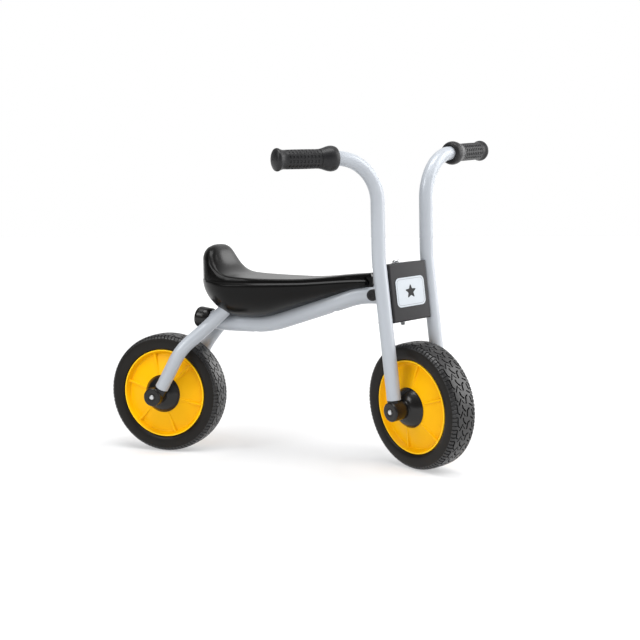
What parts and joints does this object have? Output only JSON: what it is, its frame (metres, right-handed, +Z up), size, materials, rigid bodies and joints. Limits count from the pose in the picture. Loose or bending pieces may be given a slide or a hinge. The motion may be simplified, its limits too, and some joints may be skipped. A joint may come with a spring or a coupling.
{
  "type": "toddler balance bike",
  "caption": "Small two-wheeled running bike with a bent tube frame, moulded seat with a raised back, steering fork with rubber grips, and solid tyres on yellow rims.",
  "frame": {"origin": "the point where the rear tyre's flat underside meets the floor, in the frame's middle plane", "axes": "+X forward, +Y to the rider's left, +Z up"},
  "size_m": [0.6473, 0.3759, 0.5269],
  "materials": {
    "silver_paint": "satin powder coat",
    "dark_grey_paint": "satin powder coat",
    "tyre_rubber": "moulded, dull",
    "grip_rubber": "moulded, dull",
    "yellow_plastic": "satin moulding",
    "black_plastic": "semi-gloss moulding",
    "seat_plastic": "semi-gloss moulding",
    "white_nylon": "satin moulding",
    "label_film": "printed film",
    "zinc_steel": "bright zinc"
  },
  "bodies": {
    "frame": {"main_tube": "silver_paint", "rear_fork_tube_left": "silver_paint", "rear_fork_tube_right": "silver_paint", "rear_end_cap": "black_plastic", "head_tube": "silver_paint", "head_bush_lower": "white_nylon", "head_bush_upper": "white_nylon", "steering_stop_left": "grip_rubber", "steering_stop_right": "grip_rubber", "seat": "seat_plastic", "seat_bolt_front": "zinc_steel", "seat_bolt_rear": "zinc_steel", "rear_axle": "zinc_steel", "rear_axle_fitting_left": "black_plastic", "rear_axle_fitting_right": "black_plastic", "rear_axle_spacer_left": "zinc_steel", "rear_axle_spacer_right": "zinc_steel", "rear_bearing_spacer": "zinc_steel"},
    "rear_wheel": {"rear_tyre": "tyre_rubber", "rear_rim_left": "yellow_plastic", "rear_rim_right": "yellow_plastic", "rear_hub_cover_left": "black_plastic", "rear_hub_cover_right": "black_plastic", "rear_bearing_left": "zinc_steel", "rear_bearing_right": "zinc_steel"},
    "fork": {"fork_tube_left": "silver_paint", "fork_tube_right": "silver_paint", "head_box": "dark_grey_paint", "head_label": "label_film", "kingpin": "zinc_steel", "kingpin_washer": "zinc_steel", "kingpin_nut": "zinc_steel", "grip_left": "grip_rubber", "grip_right": "grip_rubber", "front_axle": "zinc_steel", "front_axle_fitting_left": "black_plastic", "front_axle_fitting_right": "black_plastic", "front_axle_spacer_left": "zinc_steel", "front_axle_spacer_right": "zinc_steel", "front_bearing_spacer": "zinc_steel"},
    "front_wheel": {"front_tyre": "tyre_rubber", "front_rim_left": "yellow_plastic", "front_rim_right": "yellow_plastic", "front_hub_cover_left": "black_plastic", "front_hub_cover_right": "black_plastic", "front_bearing_left": "zinc_steel", "front_bearing_right": "zinc_steel"}
  },
  "joints": [
    {"name": "steering", "type": "hinge", "parent": "frame", "child": "fork", "pos_m": [0.43397, 0, 0.10087], "axis": [-0.108, 0, 0.9942], "range_deg": [-26.8, 93.2]},
    {"name": "rear_wheel_spin", "type": "hinge", "parent": "frame", "child": "rear_wheel", "pos_m": [0, 0, 0.102], "axis": [0, 1, 0], "continuous": true},
    {"name": "front_wheel_spin", "type": "hinge", "parent": "fork", "child": "front_wheel", "pos_m": [0.45065, -0.01098, 0.10269], "axis": [0.5444, 0.8368, 0.0591], "continuous": true}
  ]
}
